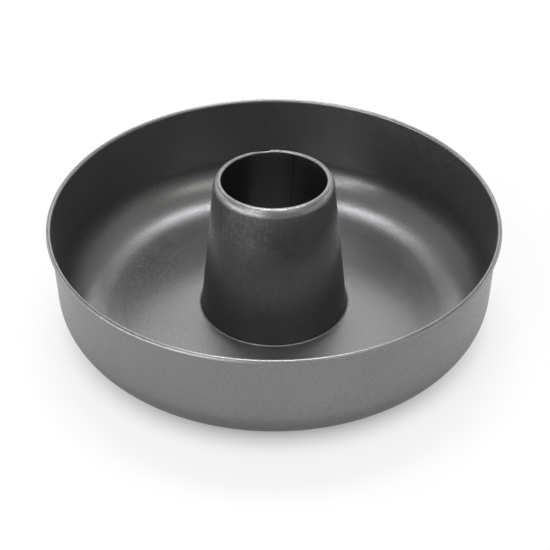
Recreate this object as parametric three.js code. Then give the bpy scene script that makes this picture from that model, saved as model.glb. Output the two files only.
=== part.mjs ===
// Savarin mould: a ring-shaped cake pan of coated steel sheet, and the rolled conical tube that is
// seamed into the middle of its floor. Millimetres, +Z up, origin on the table under the tube's axis.
// The tube's lap seam faces +Y.
import * as THREE from 'three';

// Sheet and clearances
const SHEET = 0.6;              // steel with its coating
const SEAT_GAP = 0.3;           // between the floor and the tube's foot flange below it
const LIP_GAP = 0.35;           // between the floor's turned-up lip and the tube

// Ring pan
const RIM_RADIUS = 130;         // outermost point of the rolled rim
const RIM_HEIGHT = 66.4;        // top of the rolled rim above the table
const RIM_BEND_WIDTH = 1.25;    // bend from the wall to the rim's top, measured across
const RIM_BEND_DEPTH = 1.9;     // bend from the wall to the rim's top, measured down
const RIM_ROUND = 1.65;         // round from the rim's top to its outermost point
const TUCK_RADIUS = 1.2;        // round of the rolled edge below its outermost point
const TUCK_ANGLE = 105;         // degrees that the rolled edge goes on past its outermost point
const WALL_FLARE = 1.4;         // degrees that the wall leans outward
const WALL_COVE = 24;           // upper bend between wall and floor, on the outside
const FLOOR_COVE = 32;          // lower bend between wall and floor, on the outside
const COVE_SPLIT = 41;          // degrees that the lower bend rises to before the upper one starts
const STANDING_WIDTH = 6;       // flat ring that the pan stands on
const FLOOR_CROWN = 3.3;        // rise of the floor from the standing ring to the tube
const LIP_BEND = 0.6;           // bend of the floor's turned-up lip, on the upper side

// Centre tube
const TUBE_HEIGHT = 90.1;       // middle of the tube's mouth above the table
const TOP_SLANT = 1.8;          // degrees that the mouth falls towards the back
const FOOT_RADIUS = 43.25;      // outside of the cone where it passes the floor
const NECK_RADIUS = 34.7;       // outside of the cone where the shoulder starts
const SHOULDER_RADIUS = 9;      // round of the shoulder above the cone
const SHOULDER_TURN = 32;       // degrees that the shoulder turns in before the lip
const COLLAR_HEIGHT = 5.2;      // lip and shoulder, measured down
const LIP_WIDTH = 2.75;         // lip from the shoulder in to the mouth
const MOUTH_ROUND = 0.8;        // round from the lip to the edge that is turned down
const MOUTH_TURN = 1.5;         // edge of the mouth, turned down
const FOOT_BEND = 1.5;          // bend between the cone and the foot flange, on the upper side
const FLANGE_WIDTH = 4;         // foot flange, measured from the cone
const HEM_HEIGHT = 8;           // lowest band of the cone, where the lapped layer is trimmed

// Lap seam of the tube
const LAP_AZIMUTH = 94;         // degrees from +X to the edge of the outer layer
const LAP_ANGLE = 24;           // degrees that the inner layer runs on behind the outer one, at the mouth
const LAP_FOOT_ANGLE = 14;      // the same at the foot
const LAP_GAP = 0.15;           // between the two layers
const JOGGLE_ANGLE = 18;        // degrees over which the sheet steps in before the lap
const NOTCH_ANGLE = 12;         // degrees before the lap where the foot flange is cut away

// Facets
const PAN_SEGMENTS = 72;
const TURN_COLUMNS = 90;
const RIM_STEPS = 4;
const COVE_STEPS = 5;
const LIP_STEPS = 3;
const MOUTH_STEPS = 3;
const SHOULDER_STEPS = 4;
const FOOT_STEPS = 3;

const FULL_TURN = 360;
const radians = THREE.MathUtils.degToRad;
const point = (x, y) => new THREE.Vector2(x, y);

/** Points on an elliptic arc, from one angle to another in degrees. */
function arc(centre, radiusX, radiusY, from, to, steps) {
  return Array.from({ length: steps + 1 }, (_, i) => {
    const angle = radians(from + (to - from) * i / steps);
    return point(centre.x + radiusX * Math.cos(angle), centre.y + radiusY * Math.sin(angle));
  });
}

/** The line at a distance to the right of an open line, mitred at its corners. */
function offsetLine(line, distance) {
  const steps = line.slice(1).map((end, i) => end.clone().sub(line[i]).normalize());
  return line.map((corner, i) => {
    const before = steps[Math.max(i - 1, 0)];
    const after = steps[Math.min(i, steps.length - 1)];
    const along = before.clone().add(after).normalize();
    const reach = distance / along.dot(after);
    return point(corner.x + along.y * reach, corner.y - along.x * reach);
  });
}

/** Points at even steps along a line, up to a share of its length, without its first point. */
function evenPoints(line, share, count) {
  const path = new THREE.CurvePath();
  line.slice(1).forEach((end, i) => path.add(new THREE.LineCurve(line[i], end)));
  return Array.from({ length: count }, (_, i) => path.getPointAt(share * (i + 1) / count));
}

/** A steel-grey material with the coating's satin look. */
function coating(colour, roughness) {
  return new THREE.MeshStandardMaterial({ color: colour, roughness, metalness: 0.6 });
}

// Floor of the pan round the tube: the lip's bend has one centre on both sides of the sheet.
const floorTop = FLOOR_CROWN + SHEET;
const holeRadius = FOOT_RADIUS + LIP_GAP;
const lipCentre = point(holeRadius + SHEET + LIP_BEND, floorTop + LIP_BEND);

/** Upper side of the pan's sheet: lip, floor, cove, wall and rolled rim, from the hole outward. */
function panFace() {
  const rimCentre = point(RIM_RADIUS - RIM_ROUND, RIM_HEIGHT - RIM_ROUND);
  const bendCentre = point(rimCentre.x, RIM_HEIGHT - RIM_BEND_DEPTH);
  const tuckCentre = point(RIM_RADIUS - TUCK_RADIUS, rimCentre.y);
  const wallTop = point(bendCentre.x - RIM_BEND_WIDTH, bendCentre.y);

  // The two bends of the cove meet in one tangent.
  const floorCove = FLOOR_COVE - SHEET;
  const wallCove = WALL_COVE - SHEET;
  const flare = radians(WALL_FLARE);
  const split = radians(COVE_SPLIT);
  const wallCoveHeight = FLOOR_COVE - (floorCove - wallCove) * Math.cos(split);
  const wallFoot = wallCoveHeight - wallCove * Math.sin(flare);
  const wallFootRadius = wallTop.x - (wallTop.y - wallFoot) * Math.tan(flare);
  const wallCoveCentre = point(wallFootRadius - wallCove * Math.cos(flare), wallCoveHeight);
  const floorCoveCentre = point(wallCoveCentre.x - (floorCove - wallCove) * Math.sin(split), FLOOR_COVE);

  const lip = arc(lipCentre, LIP_BEND, LIP_BEND, 180, 270, LIP_STEPS);
  const seat = point(FOOT_RADIUS + FLANGE_WIDTH, floorTop);
  const standing = point(floorCoveCentre.x - STANDING_WIDTH, SHEET);
  const lower = arc(floorCoveCentre, floorCove, floorCove, -90, COVE_SPLIT - 90, COVE_STEPS);
  const upper = arc(wallCoveCentre, wallCove, wallCove, COVE_SPLIT - 90, -WALL_FLARE, COVE_STEPS);
  const bend = arc(bendCentre, RIM_BEND_WIDTH, RIM_BEND_DEPTH, 180, 90, RIM_STEPS);
  const round = arc(rimCentre, RIM_ROUND, RIM_ROUND, 90, 0, RIM_STEPS);
  const tuck = arc(tuckCentre, TUCK_RADIUS, TUCK_RADIUS, 0, -TUCK_ANGLE, RIM_STEPS);
  return [...lip, seat, standing, ...lower, ...upper.slice(1), ...bend, ...round.slice(1), ...tuck.slice(1)];
}

/** The pan: its sheet's section turned about the axis. */
function ringPan() {
  const face = panFace();
  const section = [...face, ...offsetLine(face, SHEET).reverse(), face[0].clone()];
  const geometry = new THREE.LatheGeometry(section.reverse(), PAN_SEGMENTS);
  geometry.rotateX(Math.PI / 2);
  const pan = new THREE.Mesh(geometry, coating(0x55565a, 0.42));
  pan.name = 'ring_pan';
  return pan;
}

// Cone and foot of the tube. The flange lies under the floor with its seat gap.
const flangeTop = FLOOR_CROWN - SEAT_GAP;
const footTop = point(FOOT_RADIUS, flangeTop + FOOT_BEND);
const neck = point(NECK_RADIUS, TUBE_HEIGHT - COLLAR_HEIGHT);
const coneSlope = (FOOT_RADIUS - NECK_RADIUS) / (neck.y - footTop.y);
const coneTilt = Math.atan(coneSlope);
const hem = point(FOOT_RADIUS - coneSlope * HEM_HEIGHT, footTop.y + HEM_HEIGHT);

/**
 * Outer side of the tube's sheet above its foot, downward: edge, domed lip, shoulder and cone.
 * inset is how far the sheet lies in behind the outer layer.
 */
function tubeUpperFace(inset) {
  const spoke = point(Math.cos(coneTilt), Math.sin(coneTilt)).multiplyScalar(SHOULDER_RADIUS);
  const inward = point(inset / Math.cos(coneTilt), 0);
  const centre = neck.clone().sub(spoke).sub(inward).sub(point(0, inset));
  const turn = THREE.MathUtils.radToDeg(coneTilt);
  const shoulder = arc(centre, SHOULDER_RADIUS, SHOULDER_RADIUS, turn + SHOULDER_TURN, turn, SHOULDER_STEPS);
  const brow = shoulder[0];

  const top = TUBE_HEIGHT - inset;
  const edge = brow.x + inward.x - LIP_WIDTH + inset;
  const roundCentre = point(edge + MOUTH_ROUND, top - MOUTH_ROUND);
  const round = arc(roundCentre, MOUTH_ROUND, MOUTH_ROUND, 180, 90, MOUTH_STEPS);
  const dome = Array.from({ length: LIP_STEPS - 1 }, (_, i) => {
    const share = (i + 1) / LIP_STEPS;
    const radius = THREE.MathUtils.lerp(roundCentre.x, brow.x, share);
    return point(radius, THREE.MathUtils.lerp(top, brow.y, share ** 2));
  });
  return [point(edge, top - MOUTH_TURN), ...round, ...dome, ...shoulder, hem.clone().sub(inward)];
}

/** Outer side of the tube's foot: end of the cone, bend and flange. */
function tubeFootFace() {
  const bendCentre = point(FOOT_RADIUS + FOOT_BEND, footTop.y);
  const bend = arc(bendCentre, FOOT_BEND, FOOT_BEND, 180, 270, FOOT_STEPS);
  return [...bend, point(FOOT_RADIUS + FLANGE_WIDTH, flangeTop)];
}

/**
 * One section through the tube's sheet: its outer side, and its inner side.
 * inset is how far the sheet lies in behind the outer layer, and flange is 1 where the foot is
 * whole, 0 where it is cut off at the end of the cone, or a share of the foot's length between.
 */
function tubeSection(inset, flange) {
  const foot = tubeFootFace();
  const band = [hem, ...foot];
  const lengthOf = (line) => line.slice(1).reduce((sum, end, i) => sum + end.distanceTo(line[i]), 0);
  const coneShare = HEM_HEIGHT / Math.cos(coneTilt) / lengthOf(band);
  const share = THREE.MathUtils.lerp(coneShare, 1, flange);
  const lower = flange === 1 ? foot : evenPoints(band, share, foot.length);
  const inward = inset / Math.cos(coneTilt);
  const face = [...tubeUpperFace(inset), ...lower.map((corner) => point(corner.x - inward, corner.y))];
  return [...face, ...offsetLine(face, SHEET).reverse()];
}

/** The tube: one sheet that winds a full turn and laps behind its own edge. */
function centreTube() {
  const columnAngle = FULL_TURN / TURN_COLUMNS;
  const lapColumns = Math.max(2, Math.round(LAP_ANGLE / columnAngle));
  const turns = Array.from({ length: TURN_COLUMNS + 1 }, (_, i) => i * columnAngle);
  const laps = Array.from({ length: lapColumns }, (_, i) => FULL_TURN + LAP_ANGLE * (i + 1) / lapColumns);
  const lapStart = FULL_TURN - columnAngle;
  const slant = Math.tan(radians(TOP_SLANT));

  const sections = [...turns, ...laps].map((wound) => {
    const step = THREE.MathUtils.smoothstep(wound, lapStart - JOGGLE_ANGLE, lapStart);
    const pastNotch = wound - (FULL_TURN - NOTCH_ANGLE);
    const flange = pastNotch <= 0 ? 1 : Math.max(0, 0.5 - pastNotch / NOTCH_ANGLE);
    const lapped = Math.max(0, wound - FULL_TURN);
    return tubeSection(step * (SHEET + LAP_GAP), flange).map((corner) => {
      const rise = THREE.MathUtils.clamp((corner.y - hem.y) / (TUBE_HEIGHT - hem.y), 0, 1);
      const trim = lapped * (1 - LAP_FOOT_ANGLE / LAP_ANGLE) * (1 - rise);
      const azimuth = radians(LAP_AZIMUTH - wound + trim);
      const back = corner.x * Math.sin(azimuth);
      return new THREE.Vector3(corner.x * Math.cos(azimuth), back, corner.y - slant * rise * back);
    });
  });

  const count = sections[0].length;
  const index = [];
  const quad = (a, b, c, d) => index.push(a, b, c, a, c, d);
  for (let column = 0; column + 1 < sections.length; column += 1) {
    for (let i = 0; i < count; i += 1) {
      const next = (i + 1) % count;
      const here = column * count;
      const beyond = here + count;
      quad(here + i, beyond + i, beyond + next, here + next);
    }
  }
  const last = (sections.length - 1) * count;
  for (let i = 0; i + 1 < count / 2; i += 1) {
    const across = count - 1 - i;
    quad(i, i + 1, across - 1, across);
    quad(last + i, last + across, last + across - 1, last + i + 1);
  }

  const geometry = new THREE.BufferGeometry().setFromPoints(sections.flat());
  geometry.setIndex(index);
  geometry.computeVertexNormals();
  const tube = new THREE.Mesh(geometry, coating(0x4b4c50, 0.4));
  tube.name = 'centre_tube';
  return tube;
}

const mould = new THREE.Group();
mould.name = 'savarin_mould';
mould.add(ringPan(), centreTube());

export default mould;
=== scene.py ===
"""Looks of a savarin mould: a coated ring pan and its lap-seamed centre tube, in a white studio.

Sizes are in millimetres unless a name says otherwise, and meshes are made in metres in the CAD frame:
+Z up, the origin on the table under the tube's axis, the tube's lap seam towards +Y.
"""

from __future__ import annotations

import logging
import math
from collections.abc import Sequence
from dataclasses import dataclass
from enum import Enum

import bpy
import numpy as np
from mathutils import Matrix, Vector

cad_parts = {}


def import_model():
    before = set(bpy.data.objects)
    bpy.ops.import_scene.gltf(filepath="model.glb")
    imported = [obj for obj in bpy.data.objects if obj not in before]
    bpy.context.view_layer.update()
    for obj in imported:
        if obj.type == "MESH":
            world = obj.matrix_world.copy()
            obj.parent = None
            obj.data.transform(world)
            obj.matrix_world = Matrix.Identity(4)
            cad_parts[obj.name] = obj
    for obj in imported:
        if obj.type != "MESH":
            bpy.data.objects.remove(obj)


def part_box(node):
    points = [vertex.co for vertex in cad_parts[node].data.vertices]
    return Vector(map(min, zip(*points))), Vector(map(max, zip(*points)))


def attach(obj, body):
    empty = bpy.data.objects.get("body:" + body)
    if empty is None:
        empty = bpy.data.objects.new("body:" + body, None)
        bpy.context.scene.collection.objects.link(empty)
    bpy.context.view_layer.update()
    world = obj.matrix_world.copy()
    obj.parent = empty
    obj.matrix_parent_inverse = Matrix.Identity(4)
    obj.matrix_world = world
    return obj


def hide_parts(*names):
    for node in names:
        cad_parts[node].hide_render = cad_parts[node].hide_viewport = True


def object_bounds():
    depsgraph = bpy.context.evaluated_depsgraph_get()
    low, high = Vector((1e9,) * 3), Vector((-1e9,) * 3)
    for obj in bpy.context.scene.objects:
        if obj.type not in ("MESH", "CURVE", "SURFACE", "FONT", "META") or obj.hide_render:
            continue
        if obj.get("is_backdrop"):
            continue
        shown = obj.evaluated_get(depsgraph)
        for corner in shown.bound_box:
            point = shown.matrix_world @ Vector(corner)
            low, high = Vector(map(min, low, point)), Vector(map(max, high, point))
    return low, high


LOG = logging.getLogger("savarin_mould")
MM = 0.001
FULL_TURN = 360.0
ROOT = "root"
EXPOSURE = "edge_exposure"
Colour = tuple[float, float, float]


class Slot(Enum):
    """Material slots of the record."""

    PAN = "pan_coating"
    TUBE = "tube_coating"


class Node(Enum):
    """CAD nodes that the visual pieces stand for."""

    PAN = "ring_pan"
    TUBE = "centre_tube"


def arc(centre: tuple[float, float], across: float, high: float, start: float, stop: float,
        steps: int) -> np.ndarray:
    """Points on an elliptic arc.

    Args:
        centre: Radius and height of the arc's centre.
        across: Half axis along the radius.
        high: Half axis along the height.
        start: First angle in degrees.
        stop: Last angle in degrees.
        steps: Number of straight stretches.

    Returns:
        An array of points, one row each.
    """
    angles = np.radians(np.linspace(start, stop, steps + 1))
    return np.stack([centre[0] + across * np.cos(angles), centre[1] + high * np.sin(angles)], 1)


def straight(start: np.ndarray, stop: np.ndarray, steps: int) -> np.ndarray:
    """Points between two ends of a straight stretch, without the ends.

    Args:
        start: First end.
        stop: Last end.
        steps: Number of stretches between the ends.

    Returns:
        An array of points, one row each.
    """
    shares = np.linspace(0.0, 1.0, steps + 1)[1:-1, None]
    return np.asarray(start) + shares * (np.asarray(stop) - np.asarray(start))


def fillet(before: np.ndarray, corner: np.ndarray, after: np.ndarray, radius: float,
           steps: int) -> np.ndarray:
    """Points of the arc that rounds off the corner between two straight stretches.

    Args:
        before: A point on the stretch that comes in.
        corner: Where the stretches meet.
        after: A point on the stretch that goes out.
        radius: Radius of the arc.
        steps: Number of straight stretches in the arc.

    Returns:
        An array of points, one row each.
    """
    back = (before - corner) / np.linalg.norm(before - corner)
    ahead = (after - corner) / np.linalg.norm(after - corner)
    half_angle = math.acos(float(back @ ahead)) / 2.0
    middle = (back + ahead) / np.linalg.norm(back + ahead)
    centre = corner + middle * radius / math.sin(half_angle)
    spokes = [corner + side * radius / math.tan(half_angle) - centre for side in (back, ahead)]
    first, last = (math.degrees(math.atan2(spoke[1], spoke[0])) for spoke in spokes)
    turn = (last - first + 180.0) % FULL_TURN - 180.0
    return arc(tuple(centre), radius, radius, first, first + turn, steps)


def smooth_step(value: np.ndarray | float, low: float, high: float) -> np.ndarray | float:
    """Zero below low, one above high, and an even S between them."""
    share = np.clip((value - low) / (high - low), 0.0, 1.0)
    return share * share * (3.0 - 2.0 * share)


def line_lengths(line: np.ndarray) -> np.ndarray:
    """Distance along a line from its start to each of its points."""
    return np.concatenate([[0.0], np.cumsum(np.linalg.norm(np.diff(line, axis=0), axis=1))])


def points_along(line: np.ndarray, places: np.ndarray) -> np.ndarray:
    """Points at given distances along a line."""
    lengths = line_lengths(line)
    return np.stack([np.interp(places, lengths, line[:, axis]) for axis in (0, 1)], 1)


def offset_line(line: np.ndarray, distance: float) -> np.ndarray:
    """The line at a distance to the right of an open line.

    Args:
        line: Points of the line.
        distance: How far to the right.

    Returns:
        As many points, mitred at the corners.
    """
    steps = np.diff(line, axis=0)
    steps /= np.linalg.norm(steps, axis=1)[:, None]
    before = np.vstack([steps[:1], steps])
    after = np.vstack([steps, steps[-1:]])
    along = before + after
    along /= np.linalg.norm(along, axis=1)[:, None]
    reach = distance / (along * after).sum(1)
    return line + np.stack([along[:, 1], -along[:, 0]], 1) * reach[:, None]


def shortened(line: np.ndarray, cut: float) -> np.ndarray:
    """An open line with a length cut off at both of its ends."""
    lengths = line_lengths(line)
    kept = (lengths > cut) & (lengths < lengths[-1] - cut)
    return points_along(line, np.concatenate([[cut], lengths[kept], [lengths[-1] - cut]]))


def sheet_section(face: np.ndarray, thickness: float, edge_steps: int) -> np.ndarray:
    """Closed section of a sheet whose cut edges are rounded off past the ends of its face.

    Args:
        face: Points along the outer side of the sheet, from edge to edge.
        thickness: Thickness of the sheet, laid to the right of the face.
        edge_steps: Stretches in each rounded edge.

    Returns:
        Points round the section: face, far edge, back and near edge.
    """
    radius = thickness / 2
    middle = offset_line(face, radius)
    back = offset_line(face, thickness)
    turn = np.radians(np.linspace(0.0, 180.0, edge_steps + 1)[1:-1])[:, None]

    def edge(end: int, inner: int) -> np.ndarray:
        """Half circle round one end of the sheet's middle line."""
        side = face[end] - middle[end]
        ahead = middle[end] - middle[inner]
        ahead *= radius / np.linalg.norm(ahead)
        return middle[end] + np.cos(turn) * side + np.sin(turn) * ahead

    return np.vstack([face, edge(-1, -2), back[::-1], edge(0, 1)[::-1]])


def bend_exposure(section: np.ndarray, tight: float, gentle: float) -> np.ndarray:
    """How far each point of a closed section stands out as a rounded outer edge.

    Args:
        section: Points round the section, clockwise when seen with the height upward.
        tight: Bend radius at which an outer edge is fully exposed.
        gentle: Bend radius from which on it isn't exposed.

    Returns:
        One value from 0 to 1 for each point.
    """
    before = section - np.roll(section, 1, axis=0)
    after = np.roll(section, -1, axis=0) - section
    turned = np.arctan2(before[:, 1] * after[:, 0] - before[:, 0] * after[:, 1], (before * after).sum(1))
    stretch = (np.linalg.norm(before, axis=1) + np.linalg.norm(after, axis=1)) / 2
    return np.asarray(smooth_step(turned / stretch, 1 / gentle, 1 / tight))


def turned_piece(name: str, columns: list[np.ndarray], azimuths: Sequence[float | np.ndarray],
                 exposure: np.ndarray, joined: bool) -> bpy.types.Object:
    """A sheet piece made of sections that stand round the axis.

    Args:
        name: Name of the piece.
        columns: Closed sections, all with as many points.
        azimuths: Degrees from +X of each section, or of each point in it, falling.
        exposure: Edge exposure of each point of a section.
        joined: Whether the last section joins the first, or both are closed by end faces.

    Returns:
        The object, linked to the scene.
    """
    count = len(columns[0])
    rings = [
        np.stack([column[:, 0] * np.cos(turn), column[:, 0] * np.sin(turn), column[:, 1]], 1)
        for column, turn in zip(columns, map(np.radians, azimuths))
    ]
    here = np.arange(count)
    beyond = (here + 1) % count
    faces: list[tuple[int, ...]] = []
    total = len(rings)
    for ring in range(total if joined else total - 1):
        first = ring * count
        second = (ring + 1) % total * count
        faces += zip(first + here, second + here, second + beyond, first + beyond)
    if not joined:
        faces.append(tuple(here))
        faces.append(tuple((total - 1) * count + here[::-1]))
    mesh = bpy.data.meshes.new(name)
    mesh.from_pydata((np.vstack(rings) * MM).tolist(), [], [[int(i) for i in face] for face in faces])
    mesh.attributes.new(EXPOSURE, "FLOAT", "POINT").data.foreach_set(
        "value", np.tile(exposure, total).astype(np.float32))
    mesh.shade_smooth()
    mesh.set_sharp_from_angle(angle=math.radians(50.0))
    mesh.validate()
    piece = bpy.data.objects.new(name, mesh)
    bpy.context.scene.collection.objects.link(piece)
    return piece


class NodePad:
    """Places and links nodes in one node tree."""

    def __init__(self, tree: bpy.types.NodeTree) -> None:
        """Starts on a tree.

        Args:
            tree: The tree that gets the nodes.
        """
        self.tree = tree

    def add(self, kind: str, **settings: object) -> bpy.types.Node:
        """Places a node.

        Args:
            kind: Blender's name of the node type.
            settings: Properties of the node, and constants for its inputs by name with blanks as _.

        Returns:
            The node.
        """
        node = self.tree.nodes.new(kind)
        sockets = {socket.name.replace(" ", "_"): socket for socket in reversed(node.inputs)}
        for name, value in settings.items():
            if name in sockets:
                sockets[name].default_value = value
            else:
                setattr(node, name, value)
        return node

    def link(self, source: bpy.types.NodeSocket, target: bpy.types.NodeSocket) -> None:
        """Links an output to an input."""
        self.tree.links.new(source, target)

    def math(self, operation: str, first: object, second: object) -> bpy.types.NodeSocket:
        """A math node with each operand a socket or a number.

        Args:
            operation: Blender's name of the operation.
            first: First operand.
            second: Second operand.

        Returns:
            The result's socket.
        """
        node = self.add("ShaderNodeMath", operation=operation)
        for operand, socket in zip((first, second), node.inputs):
            if isinstance(operand, bpy.types.NodeSocket):
                self.link(operand, socket)
            else:
                socket.default_value = operand
        return node.outputs[0]


class EffectGroup:
    """A shader node group with named inputs and outputs."""

    def __init__(self, name: str, inputs: dict[str, str], outputs: dict[str, str]) -> None:
        """Makes the empty group.

        Args:
            name: Name of the group.
            inputs: Socket type of each input by name.
            outputs: Socket type of each output by name.
        """
        self.tree = bpy.data.node_groups.new(name, "ShaderNodeTree")
        for direction, sockets in (("INPUT", inputs), ("OUTPUT", outputs)):
            for socket, kind in sockets.items():
                self.tree.interface.new_socket(socket, in_out=direction, socket_type=kind)
        self.pad = NodePad(self.tree)
        self.given = self.pad.add("NodeGroupInput").outputs
        self.wanted = self.pad.add("NodeGroupOutput").inputs


FLOAT = "NodeSocketFloat"
VECTOR = "NodeSocketVector"
TEXTURE_MIDDLE = 0.5
SPECK_HEIGHT = 0.35


def flake_grain_group() -> bpy.types.NodeTree:
    """Fine tilted metal flakes, some of them coarse, and the orange peel of a sprayed coating.

    Returns:
        A group with a brightness factor, the flakes' normal, a height and a mask of the coarse flakes.
    """
    group = EffectGroup(
        "flake_grain",
        {"Vector": VECTOR, "Flake Density": FLOAT, "Flake Contrast": FLOAT, "Flake Tilt": FLOAT,
         "Coarse Share": FLOAT, "Peel Density": FLOAT},
        {"Brightness": FLOAT, "Normal": VECTOR, "Height": FLOAT, "Coarse": FLOAT},
    )
    pad, given = group.pad, group.given
    flakes = pad.add("ShaderNodeTexVoronoi", feature="F1")
    pad.link(given["Vector"], flakes.inputs["Vector"])
    pad.link(given["Flake Density"], flakes.inputs["Scale"])
    cell = pad.add("ShaderNodeSeparateColor")
    pad.link(flakes.outputs["Color"], cell.inputs["Color"])
    spread = pad.math("SUBTRACT", cell.outputs["Red"], TEXTURE_MIDDLE)
    lifted = pad.math("MULTIPLY", spread, given["Flake Contrast"])
    pad.link(pad.math("ADD", lifted, 1.0), group.wanted["Brightness"])
    pad.link(pad.math("LESS_THAN", cell.outputs["Blue"], given["Coarse Share"]), group.wanted["Coarse"])
    lean = pad.add("ShaderNodeVectorMath", operation="SUBTRACT")
    lean.inputs[1].default_value = (TEXTURE_MIDDLE,) * 3
    pad.link(flakes.outputs["Color"], lean.inputs[0])
    scaled = pad.add("ShaderNodeVectorMath", operation="SCALE")
    pad.link(lean.outputs["Vector"], scaled.inputs[0])
    pad.link(given["Flake Tilt"], scaled.inputs["Scale"])
    leaning = pad.add("ShaderNodeVectorMath", operation="ADD")
    pad.link(pad.add("ShaderNodeNewGeometry").outputs["Normal"], leaning.inputs[0])
    pad.link(scaled.outputs["Vector"], leaning.inputs[1])
    tilted = pad.add("ShaderNodeVectorMath", operation="NORMALIZE")
    pad.link(leaning.outputs["Vector"], tilted.inputs[0])
    pad.link(tilted.outputs["Vector"], group.wanted["Normal"])
    peel = pad.add("ShaderNodeTexNoise", Detail=2.0, Roughness=0.5)
    pad.link(given["Vector"], peel.inputs["Vector"])
    pad.link(given["Peel Density"], peel.inputs["Scale"])
    speck = pad.math("MULTIPLY", cell.outputs["Green"], SPECK_HEIGHT)
    pad.link(pad.math("ADD", peel.outputs["Fac"], speck), group.wanted["Height"])
    return group.tree


def coat_drift_group() -> bpy.types.NodeTree:
    """Slow unevenness of a coating: thickness clouds and faint handling marks.

    Returns:
        A group with a brightness factor and a roughness.
    """
    group = EffectGroup(
        "coat_drift",
        {"Vector": VECTOR, "Cloud Density": FLOAT, "Cloud Contrast": FLOAT, "Mark Density": FLOAT,
         "Roughness": FLOAT, "Roughness Spread": FLOAT},
        {"Brightness": FLOAT, "Roughness": FLOAT},
    )
    pad, given = group.pad, group.given
    clouds = pad.add("ShaderNodeTexNoise", Detail=3.0, Roughness=0.55)
    pad.link(given["Vector"], clouds.inputs["Vector"])
    pad.link(given["Cloud Density"], clouds.inputs["Scale"])
    spread = pad.math("SUBTRACT", clouds.outputs["Fac"], TEXTURE_MIDDLE)
    lifted = pad.math("MULTIPLY", spread, given["Cloud Contrast"])
    pad.link(pad.math("ADD", lifted, 1.0), group.wanted["Brightness"])
    marks = pad.add("ShaderNodeTexNoise", Detail=5.0, Roughness=0.6, Distortion=0.6)
    pad.link(given["Vector"], marks.inputs["Vector"])
    pad.link(given["Mark Density"], marks.inputs["Scale"])
    mark_spread = pad.math("SUBTRACT", marks.outputs["Fac"], TEXTURE_MIDDLE)
    uneven = pad.math("MULTIPLY", mark_spread, given["Roughness Spread"])
    pad.link(pad.math("ADD", uneven, given["Roughness"]), group.wanted["Roughness"])
    return group.tree


def edge_wear_group() -> bpy.types.NodeTree:
    """Coating rubbed thin along bends that stand out.

    Returns:
        A group with a wear mask.
    """
    group = EffectGroup(
        "edge_wear",
        {"Vector": VECTOR, "Exposure": FLOAT, "Patch Density": FLOAT, "Amount": FLOAT},
        {"Mask": FLOAT},
    )
    pad, given = group.pad, group.given
    patches = pad.add("ShaderNodeTexNoise", Detail=4.0, Roughness=0.65)
    pad.link(given["Vector"], patches.inputs["Vector"])
    pad.link(given["Patch Density"], patches.inputs["Scale"])
    rubbed = pad.math("MULTIPLY", patches.outputs["Fac"], given["Exposure"])
    pad.link(pad.math("MULTIPLY", rubbed, given["Amount"]), group.wanted["Mask"])
    return group.tree


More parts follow.
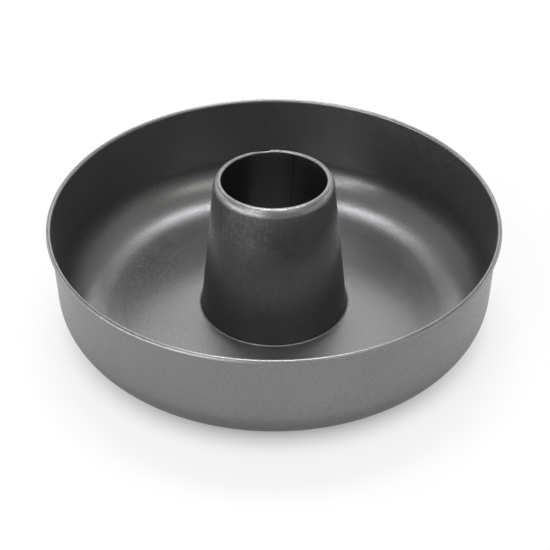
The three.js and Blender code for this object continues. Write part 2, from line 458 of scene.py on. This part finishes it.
@dataclass(frozen=True)
class Coating:
    """Metallic-grey non-stick coating on steel sheet."""

    name: str
    colour: Colour
    worn_colour: Colour
    roughness: float
    roughness_spread: float
    flake_tilt: float
    coarse_share: float
    metallic: float = 1.0
    flake_size: float = 0.38
    flake_contrast: float = 0.26
    coarse_roughness: float = 0.52
    peel_size: float = 1.3
    peel_depth: float = 0.006
    cloud_size: float = 45.0
    cloud_contrast: float = 0.16
    mark_size: float = 14.0
    patch_size: float = 6.0
    wear: float = 1.0

    def material(self, groups: dict[str, bpy.types.NodeTree]) -> bpy.types.Material:
        """Builds the material.

        Args:
            groups: The shared effect groups by name.

        Returns:
            The material.
        """
        material = bpy.data.materials.new(self.name)
        material.use_nodes = True
        material.node_tree.nodes.clear()
        pad = NodePad(material.node_tree)
        place = pad.add("ShaderNodeTexCoord").outputs["Object"]
        grain = self._effect(pad, groups["flake_grain"], place,
                             Flake_Density=self._per_metre(self.flake_size),
                             Flake_Contrast=self.flake_contrast, Flake_Tilt=self.flake_tilt,
                             Coarse_Share=self.coarse_share, Peel_Density=self._per_metre(self.peel_size))
        drift = self._effect(pad, groups["coat_drift"], place, Cloud_Density=self._per_metre(self.cloud_size),
                             Cloud_Contrast=self.cloud_contrast, Mark_Density=self._per_metre(self.mark_size),
                             Roughness=self.roughness, Roughness_Spread=self.roughness_spread)
        wear = self._effect(pad, groups["edge_wear"], place, Patch_Density=self._per_metre(self.patch_size),
                            Amount=self.wear)
        exposure = pad.add("ShaderNodeAttribute", attribute_name=EXPOSURE)
        pad.link(exposure.outputs["Fac"], wear.inputs["Exposure"])

        brightness = pad.math("MULTIPLY", grain.outputs["Brightness"], drift.outputs["Brightness"])
        shaded = pad.add("ShaderNodeVectorMath", operation="SCALE", Vector=self.colour)
        pad.link(brightness, shaded.inputs["Scale"])
        mixed = pad.add("ShaderNodeMix", data_type="RGBA")
        colours = [socket for socket in mixed.inputs if socket.type == "RGBA"]
        colours[1].default_value = (*self.worn_colour, 1.0)
        pad.link(wear.outputs["Mask"], mixed.inputs["Factor"])
        pad.link(shaded.outputs["Vector"], colours[0])
        mixed_colour = next(socket for socket in mixed.outputs if socket.type == "RGBA")

        bump = pad.add("ShaderNodeBump", Strength=1.0, Distance=self.peel_depth * MM)
        pad.link(grain.outputs["Height"], bump.inputs["Height"])
        pad.link(grain.outputs["Normal"], bump.inputs["Normal"])
        shader = pad.add("ShaderNodeBsdfPrincipled", Metallic=self.metallic)
        pad.link(mixed_colour, shader.inputs["Base Color"])
        coarser = pad.math("MULTIPLY", grain.outputs["Coarse"], self.coarse_roughness - self.roughness)
        pad.link(pad.math("ADD", drift.outputs["Roughness"], coarser), shader.inputs["Roughness"])
        pad.link(bump.outputs["Normal"], shader.inputs["Normal"])
        output = pad.add("ShaderNodeOutputMaterial")
        pad.link(shader.outputs["BSDF"], output.inputs["Surface"])
        return material

    @staticmethod
    def _per_metre(size: float) -> float:
        """Texture density for features of a size."""
        return 1.0 / (size * MM)

    @staticmethod
    def _effect(pad: NodePad, tree: bpy.types.NodeTree, place: bpy.types.NodeSocket,
                **values: float) -> bpy.types.Node:
        """Places an effect group in the material with its own values.

        Args:
            pad: The material's nodes.
            tree: The group's tree.
            place: Socket with the point on the surface.
            values: Constants for the group's inputs, with blanks as _.

        Returns:
            The group's node.
        """
        node = pad.add("ShaderNodeGroup")
        node.node_tree = tree
        for name, value in values.items():
            node.inputs[name.replace("_", " ")].default_value = value
        pad.link(place, node.inputs["Vector"])
        return node


@dataclass
class RingPan:
    """Deep-drawn ring pan with a coved wall, a rolled rim and a lipped hole in its floor."""

    rim_radius: float
    rim_height: float
    sheet: float = 0.6
    rim_bend_width: float = 1.25
    rim_bend_depth: float = 1.9
    rim_round: float = 1.65
    tuck_radius: float = 1.2
    tuck_angle: float = 105.0
    wall_flare: float = 1.4
    wall_cove: float = 24.0
    floor_cove: float = 32.0
    cove_split: float = 41.0
    standing_width: float = 6.0
    floor_crown: float = 3.3
    hole_radius: float = 43.6
    lip_bend: float = 0.6
    seat_radius: float = 47.25
    columns: int = 360

    @classmethod
    def from_frame(cls) -> RingPan:
        """A pan whose rim has the reach and height of the CAD pan."""
        _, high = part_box(Node.PAN.value)
        return cls(rim_radius=high.x / MM, rim_height=high.z / MM)

    def face(self) -> np.ndarray:
        """Upper side of the sheet from the hole's lip to the tucked edge of the rim.

        Returns:
            Points with radius and height.
        """
        return np.vstack([self._floor(), self._cove(), self._rim()])

    def _bend_centre(self) -> tuple[float, float]:
        """Centre of the bend from the wall to the rim's top."""
        return self.rim_radius - self.rim_round, self.rim_height - self.rim_bend_depth

    def _cove_centres(self) -> tuple[tuple[float, float], tuple[float, float]]:
        """Centres of the lower and the upper bend between floor and wall, which meet in one tangent."""
        flare, split = math.radians(self.wall_flare), math.radians(self.cove_split)
        wider = self.floor_cove - self.wall_cove
        upper_radius = self.wall_cove - self.sheet
        upper_height = self.floor_cove - wider * math.cos(split)
        wall_top, wall_top_height = self._bend_centre()
        wall_top -= self.rim_bend_width
        wall_foot = upper_height - upper_radius * math.sin(flare)
        wall_foot_radius = wall_top - (wall_top_height - wall_foot) * math.tan(flare)
        upper = (wall_foot_radius - upper_radius * math.cos(flare), upper_height)
        return (upper[0] - wider * math.sin(split), self.floor_cove), upper

    def _floor(self) -> np.ndarray:
        """Lip of the hole and the floor that falls from it to the standing ring."""
        lip_centre = (self.hole_radius + self.sheet + self.lip_bend,
                      self.floor_crown + self.sheet + self.lip_bend)
        lip = arc(lip_centre, self.lip_bend, self.lip_bend, 180.0, 270.0, steps=10)
        seat = np.array([self.seat_radius, self.floor_crown + self.sheet])
        standing = np.array([self._cove_centres()[0][0] - self.standing_width, self.sheet])
        return np.vstack([lip, seat, straight(seat, standing, steps=24), standing])

    def _cove(self) -> np.ndarray:
        """The two bends between the standing ring and the wall."""
        lower_centre, upper_centre = self._cove_centres()
        lower_radius, upper_radius = self.floor_cove - self.sheet, self.wall_cove - self.sheet
        turn = self.cove_split - 90.0
        lower = arc(lower_centre, lower_radius, lower_radius, -90.0, turn, steps=20)
        upper = arc(upper_centre, upper_radius, upper_radius, turn, -self.wall_flare, steps=20)
        return np.vstack([lower, upper[1:]])

    def _rim(self) -> np.ndarray:
        """Wall above the cove and the rolled rim."""
        centre = self._bend_centre()
        bend = arc(centre, self.rim_bend_width, self.rim_bend_depth, 180.0, 90.0, steps=14)
        rim_centre = (centre[0], self.rim_height - self.rim_round)
        tuck_centre = (self.rim_radius - self.tuck_radius, rim_centre[1])
        rounded = arc(rim_centre, self.rim_round, self.rim_round, 90.0, 0.0, steps=14)
        tuck = arc(tuck_centre, self.tuck_radius, self.tuck_radius, 0.0, -self.tuck_angle, steps=12)
        wall = straight(self._cove()[-1], bend[0], steps=12)
        return np.vstack([wall, bend, rounded[1:], tuck[1:]])

    def build(self) -> bpy.types.Object:
        """Makes the pan.

        Returns:
            The piece.
        """
        section = sheet_section(shortened(self.face(), self.sheet / 2), self.sheet, edge_steps=6)
        azimuths = -FULL_TURN * np.arange(self.columns) / self.columns
        exposure = bend_exposure(section, tight=0.6, gentle=4.0)
        return turned_piece("pan_sheet", [section] * self.columns, azimuths, exposure, joined=True)


@dataclass
class CentreTube:
    """Conical tube rolled from one sheet, lapped at the back, turned in at the top and out at the foot."""

    height: float
    sheet: float = 0.6
    foot_radius: float = 43.25
    neck_radius: float = 34.7
    shoulder_radius: float = 9.0
    shoulder_turn: float = 32.0
    collar_height: float = 5.2
    mouth_radius: float = 30.1
    mouth_round: float = 0.8
    mouth_turn: float = 1.5
    brow_bend: float = 0.8
    top_slant: float = 1.8
    foot_bend: float = 1.5
    flange_top: float = 3.0
    flange_width: float = 4.0
    hem_height: float = 8.0
    lap_azimuth: float = 94.0
    lap_angle: float = 24.0
    lap_foot_angle: float = 14.0
    lap_gap: float = 0.15
    joggle_angle: float = 18.0
    joggle_lead: float = 4.0
    notch_angle: float = 12.0
    lip_fall: float = 0.7
    lip_rub: float = 0.45
    column_angle: float = 1.0
    foot_points: int = 26

    @classmethod
    def from_frame(cls) -> CentreTube:
        """A tube as high as the CAD tube, whose slanted mouth is highest at the front."""
        _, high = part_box(Node.TUBE.value)
        front = math.tan(math.radians(cls.top_slant)) * (cls.mouth_radius + cls.mouth_round)
        return cls(height=high.z / MM - front)

    def _upper(self, inset: float) -> np.ndarray:
        """Outer side of the sheet from the mouth's edge down to the hem line.

        Args:
            inset: How far the sheet lies in behind the outer layer.

        Returns:
            Points of the turned-down edge, the domed lip, the shoulder and the cone.
        """
        tilt = math.atan(self._slope())
        inward = np.array([inset / math.cos(tilt), 0.0])
        top, edge = self.height - inset, self.mouth_radius + inset
        neck = np.array([self.neck_radius, top - self.collar_height]) - inward
        centre = neck - self.shoulder_radius * np.array([math.cos(tilt), math.sin(tilt)])
        turn = math.degrees(tilt)
        shoulder = arc(tuple(centre), self.shoulder_radius, self.shoulder_radius,
                       turn + self.shoulder_turn, turn, steps=14)
        crest = edge + self.mouth_round
        rounded = arc((crest, top - self.mouth_round), self.mouth_round, self.mouth_round, 180.0, 90.0,
                      steps=8)
        shares = np.linspace(0.0, 1.0, 9)[1:]
        lip = np.stack([
            crest + shares * (shoulder[0, 0] - crest),
            top + shares ** 2 * (shoulder[0, 1] - top),
        ], 1)
        brow = fillet(lip[-2], shoulder[0], shoulder[1], self.brow_bend, steps=6)
        hem = self._on_cone(self.hem_height) - inward
        cut = [edge, top - self.mouth_turn + self.sheet / 2]
        cone = straight(shoulder[-1], hem, steps=14)
        return np.vstack([cut, rounded, lip[:-2], brow, shoulder[1:], cone, hem])

    def _foot(self) -> np.ndarray:
        """Outer side of the sheet below the hem line: cone, bend and flange."""
        centre = (self.foot_radius + self.foot_bend, self.flange_top + self.foot_bend)
        bend = arc(centre, self.foot_bend, self.foot_bend, 180.0, 270.0, steps=10)
        return np.vstack([self._on_cone(self.hem_height), bend,
                          [self.foot_radius + self.flange_width, self.flange_top]])

    def _slope(self) -> float:
        """Narrowing of the cone's radius for each step up."""
        foot_top = self.flange_top + self.foot_bend
        return (self.foot_radius - self.neck_radius) / (self.height - self.collar_height - foot_top)

    def _on_cone(self, above: float) -> np.ndarray:
        """Point on the cone at a height above the foot bend."""
        foot_top = self.flange_top + self.foot_bend
        return np.array([self.foot_radius - self._slope() * above, foot_top + above])

    def section(self, inset: float, flange: float) -> np.ndarray:
        """Section of the sheet at one place on its way round.

        Args:
            inset: How far the sheet lies in behind the outer layer.
            flange: Share of the foot that is left below the end of the cone.

        Returns:
            Closed section.
        """
        foot = self._foot()
        lengths = line_lengths(foot)
        end = lengths[1] + (lengths[-1] - lengths[1]) * flange - self.sheet / 2
        lower = points_along(foot, np.linspace(0.0, end, self.foot_points + 1)[1:])
        lower[:, 0] -= inset * math.hypot(1.0, self._slope())
        return sheet_section(np.vstack([self._upper(inset), lower]), self.sheet, edge_steps=6)

    def _rise(self, column: np.ndarray) -> np.ndarray:
        """Share of the way from the hem line up to the mouth, for each point of a section."""
        hem = self._on_cone(self.hem_height)[1]
        return np.clip((column[:, 1] - hem) / (self.height - hem), 0.0, 1.0)

    def _azimuths(self, column: np.ndarray, wound: float) -> np.ndarray:
        """Azimuth of each point of a section, where the lapped layer is narrower towards the foot."""
        trim = max(0.0, wound - FULL_TURN) * (1.0 - self.lap_foot_angle / self.lap_angle)
        return self.lap_azimuth - wound + trim * (1.0 - self._rise(column))

    def _slanted(self, column: np.ndarray, azimuths: np.ndarray) -> np.ndarray:
        """A section with the slant of the mouth."""
        fall = math.tan(math.radians(self.top_slant)) * np.sin(np.radians(azimuths))
        return np.stack([column[:, 0], column[:, 1] - fall * self._rise(column) * column[:, 0]], 1)

    def build(self) -> bpy.types.Object:
        """Makes the tube.

        Returns:
            The piece.
        """
        lap_start = FULL_TURN - self.joggle_lead
        notch_start = FULL_TURN - self.notch_angle
        wound = np.arange(0.0, FULL_TURN + self.lap_angle + self.column_angle / 2, self.column_angle)
        inset = smooth_step(wound, lap_start - self.joggle_angle, lap_start) * (self.sheet + self.lap_gap)
        flange = 1.0 - np.clip((wound - notch_start) / (lap_start - notch_start), 0.0, 1.0)
        sections = [self.section(*place) for place in zip(inset, flange)]
        azimuths = [self._azimuths(section, turn) for section, turn in zip(sections, wound)]
        columns = [self._slanted(*place) for place in zip(sections, azimuths)]
        exposure = bend_exposure(sections[0], tight=0.6, gentle=3.0)
        exposure[sections[0][:, 1] > self.height - self.lip_fall] = self.lip_rub
        return turned_piece("tube_sheet", columns, azimuths, exposure, joined=False)


@dataclass(frozen=True)
class Softbox:
    """A rectangular studio lamp that looks at the mould."""

    name: str
    azimuth: float
    elevation: float
    width: float
    length: float
    brightness: float
    colour: Colour = (1.0, 1.0, 1.0)
    distance: float = 3.0

    def hang(self) -> bpy.types.Object:
        """Puts up the lamp.

        Returns:
            The lamp, whose surface is as bright as a white of the given strength.
        """
        lamp = bpy.data.lights.new(self.name, "AREA")
        lamp.shape = "RECTANGLE"
        lamp.size, lamp.size_y = self.width, self.length
        lamp.energy = 4.0 * self.width * self.length * self.brightness
        lamp.color = self.colour
        turn, rise = math.radians(self.azimuth), math.radians(self.elevation)
        out = Vector((math.cos(rise) * math.cos(turn), math.cos(rise) * math.sin(turn), math.sin(rise)))
        holder = bpy.data.objects.new(self.name, lamp)
        holder.location = out * self.distance
        holder.rotation_euler = out.to_track_quat("Z", "Y").to_euler()
        holder.visible_camera = False
        bpy.context.scene.collection.objects.link(holder)
        return holder


@dataclass
class Studio:
    """White table and even surroundings."""

    table_reach: float = 6.0
    table_white: float = 0.2
    table_glow: float = 0.74
    # Painted contact shadow on the table: a fixed ring round the axis where the glow fades, not cast by the
    # mould; mirrored rays see it wider, as a painted darker reflection of the table in the metal.
    painted_shade_ring: float = 60.0
    painted_shade_core: float = 33.0
    painted_shade_reach: float = 72.0
    mirrored_painted_shade_reach: float = 104.0
    sky: float = 0.52
    sky_colour: Colour = (1.013, 1.0, 0.975)

    def lay_table(self) -> bpy.types.Object:
        """Makes the table that the mould stands on.

        Returns:
            The table, marked as stage.
        """
        mesh = bpy.data.meshes.new("table")
        reach = self.table_reach
        corners = [(-reach, -reach, 0.0), (reach, -reach, 0.0), (reach, reach, 0.0), (-reach, reach, 0.0)]
        mesh.from_pydata(corners, [], [(0, 1, 2, 3)])
        table = bpy.data.objects.new("table", mesh)
        bpy.context.scene.collection.objects.link(table)
        mesh.materials.append(self._table_material())
        table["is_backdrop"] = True
        return table

    def _table_material(self) -> bpy.types.Material:
        """Matt white that keeps real shadows, and glows as background; the glow fades in a painted contact
        shadow round the mould, which mirrored rays see as a wider painted shade.
        """
        material = bpy.data.materials.new("table_white")
        material.use_nodes = True
        material.node_tree.nodes.clear()
        pad = NodePad(material.node_tree)
        matt = pad.add("ShaderNodeBsdfDiffuse", Color=(self.table_white,) * 3 + (1.0,))
        rays = pad.add("ShaderNodeLightPath").outputs
        mirrored = pad.math("MAXIMUM", rays["Is Glossy Ray"], rays["Is Transmission Ray"])
        from_axis = pad.add("ShaderNodeVectorMath", operation="LENGTH")
        pad.link(pad.add("ShaderNodeTexCoord").outputs["Object"], from_axis.inputs[0])
        # Painted shade: the glow fades with the distance from a fixed ring round the axis, a painted contact
        # shadow; in mirrored rays it reaches wider, a painted darker reflection of the table in the metal.
        from_ring = pad.math("SUBTRACT", from_axis.outputs["Value"], self.painted_shade_ring * MM)
        apart = pad.math("ABSOLUTE", from_ring, 0.0)
        seen = pad.math("MULTIPLY", rays["Is Camera Ray"], self._glow(pad, apart, self.painted_shade_reach))
        shown = pad.math("MULTIPLY", mirrored, self._glow(pad, apart, self.mirrored_painted_shade_reach))
        glow = pad.add("ShaderNodeEmission")
        pad.link(pad.math("MAXIMUM", seen, shown), glow.inputs["Strength"])
        both = pad.add("ShaderNodeAddShader")
        pad.link(matt.outputs["BSDF"], both.inputs[0])
        pad.link(glow.outputs["Emission"], both.inputs[1])
        output = pad.add("ShaderNodeOutputMaterial")
        pad.link(both.outputs["Shader"], output.inputs["Surface"])
        return material

    def _glow(self, pad: NodePad, apart: bpy.types.NodeSocket, reach: float) -> bpy.types.NodeSocket:
        """Strength of the table's glow, which fades in the painted contact shadow.

        Args:
            pad: The table's nodes.
            apart: Socket with the distance from the middle of the painted shade.
            reach: Distance from which on the table glows in full.

        Returns:
            Socket with the strength.
        """
        fade = pad.add("ShaderNodeMapRange", interpolation_type="SMOOTHSTEP", To_Max=self.table_glow,
                       From_Min=self.painted_shade_core * MM, From_Max=reach * MM)
        pad.link(apart, fade.inputs["Value"])
        return fade.outputs["Result"]

    def light_room(self) -> None:
        """Sets the world to an even grey-white."""
        world = bpy.data.worlds.new("studio")
        bpy.context.scene.world = world
        world.use_nodes = True
        world.node_tree.nodes.clear()
        pad = NodePad(world.node_tree)
        even = pad.add("ShaderNodeBackground", Color=(*self.sky_colour, 1.0), Strength=self.sky)
        output = pad.add("ShaderNodeOutputWorld")
        pad.link(even.outputs["Background"], output.inputs["Surface"])


@dataclass(frozen=True)
class PhotoCamera:
    """Camera with the photograph's viewpoint, for a square frame."""

    back: float = 654.06
    height: float = 523.43
    pitch: float = 37.4904
    yaw: float = 0.0489
    focal_pixels: float = 1389.7
    frame_pixels: float = 550.0
    sensor: float = 36.0

    def set_up(self) -> bpy.types.Object:
        """Puts the camera in place and makes it the scene's camera.

        Returns:
            The camera.
        """
        data = bpy.data.cameras.new("photo_camera")
        data.sensor_width = self.sensor
        data.lens = self.sensor * self.focal_pixels / self.frame_pixels
        data.clip_start, data.clip_end = 0.01, 50.0
        camera = bpy.data.objects.new("photo_camera", data)
        camera.location = (0.0, -self.back * MM, self.height * MM)
        camera.rotation_euler = (math.radians(90.0 - self.pitch), 0.0, math.radians(-self.yaw))
        bpy.context.scene.collection.objects.link(camera)
        bpy.context.scene.camera = camera
        return camera


PAN_COATING = Coating("pan_coating", colour=(0.21, 0.21, 0.21), worn_colour=(0.4, 0.4, 0.4),
                      roughness=0.32, roughness_spread=0.08, flake_tilt=0.05, coarse_share=0.25)
TUBE_COATING = Coating("tube_coating", colour=(0.195, 0.195, 0.195), worn_colour=(0.4, 0.4, 0.4),
                       roughness=0.32, roughness_spread=0.08, flake_tilt=0.08, coarse_share=0.4)
WARM = (1.02, 1.0, 0.97)
COOL = (0.985, 1.0, 1.03)
SOFTBOXES = (
    Softbox("top_back", azimuth=90.0, elevation=68.8, width=1.2, length=0.55, brightness=9.8, colour=COOL),
    Softbox("top_wide", azimuth=90.0, elevation=69.8, width=1.8, length=0.75, brightness=3.4, colour=COOL),
    Softbox("back_low", azimuth=90.0, elevation=32.0, width=2.6, length=0.7, brightness=2.0),
    Softbox("key_left", azimuth=238.0, elevation=42.0, width=1.2, length=1.3, brightness=2.6),
    Softbox("key_low", azimuth=226.0, elevation=27.0, width=1.2, length=0.7, brightness=3.7),
    Softbox("fill_right", azimuth=308.0, elevation=43.0, width=1.8, length=1.3, brightness=1.3, colour=WARM),
    Softbox("low_left", azimuth=215.0, elevation=6.5, width=4.2, length=0.6, brightness=5.0),
    Softbox("low_right", azimuth=355.0, elevation=6.5, width=4.2, length=0.6, brightness=0.8, colour=WARM),
    Softbox("low_back_left", azimuth=150.0, elevation=11.0, width=2.4, length=0.8, brightness=2.2),
    Softbox("low_back_right", azimuth=40.0, elevation=11.0, width=2.8, length=0.8, brightness=1.5),
    Softbox("overhead", azimuth=270.0, elevation=88.0, width=1.4, length=1.4, brightness=0.45),
)


def place(piece: bpy.types.Object, node: Node, slot: Slot, material: bpy.types.Material) -> None:
    """Gives a piece its finish, hangs it under the root body and hides the CAD node that it stands for.

    Args:
        piece: The visual piece.
        node: The CAD node that it replaces.
        slot: The record's material slot; not used.
        material: The piece's material.
    """
    piece.data.materials.append(material)
    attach(piece, ROOT)
    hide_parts(node.value)
    LOG.info("%s: %d faces, stands for %s", piece.name, len(piece.data.polygons), node.value)


def main() -> None:
    """Builds the mould, the studio and the camera."""
    logging.basicConfig(level=logging.INFO, format="%(name)s: %(message)s")
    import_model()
    low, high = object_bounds()
    cad_box = (low.copy(), high.copy())
    groups = {tree.name: tree for tree in (flake_grain_group(), coat_drift_group(), edge_wear_group())}
    place(RingPan.from_frame().build(), Node.PAN, Slot.PAN, PAN_COATING.material(groups))
    place(CentreTube.from_frame().build(), Node.TUBE, Slot.TUBE, TUBE_COATING.material(groups))
    studio = Studio()
    studio.lay_table()
    studio.light_room()
    for softbox in SOFTBOXES:
        softbox.hang()
    PhotoCamera().set_up()
    bpy.context.scene.view_settings.view_transform = "Standard"


if __name__ == "__main__":
    main()
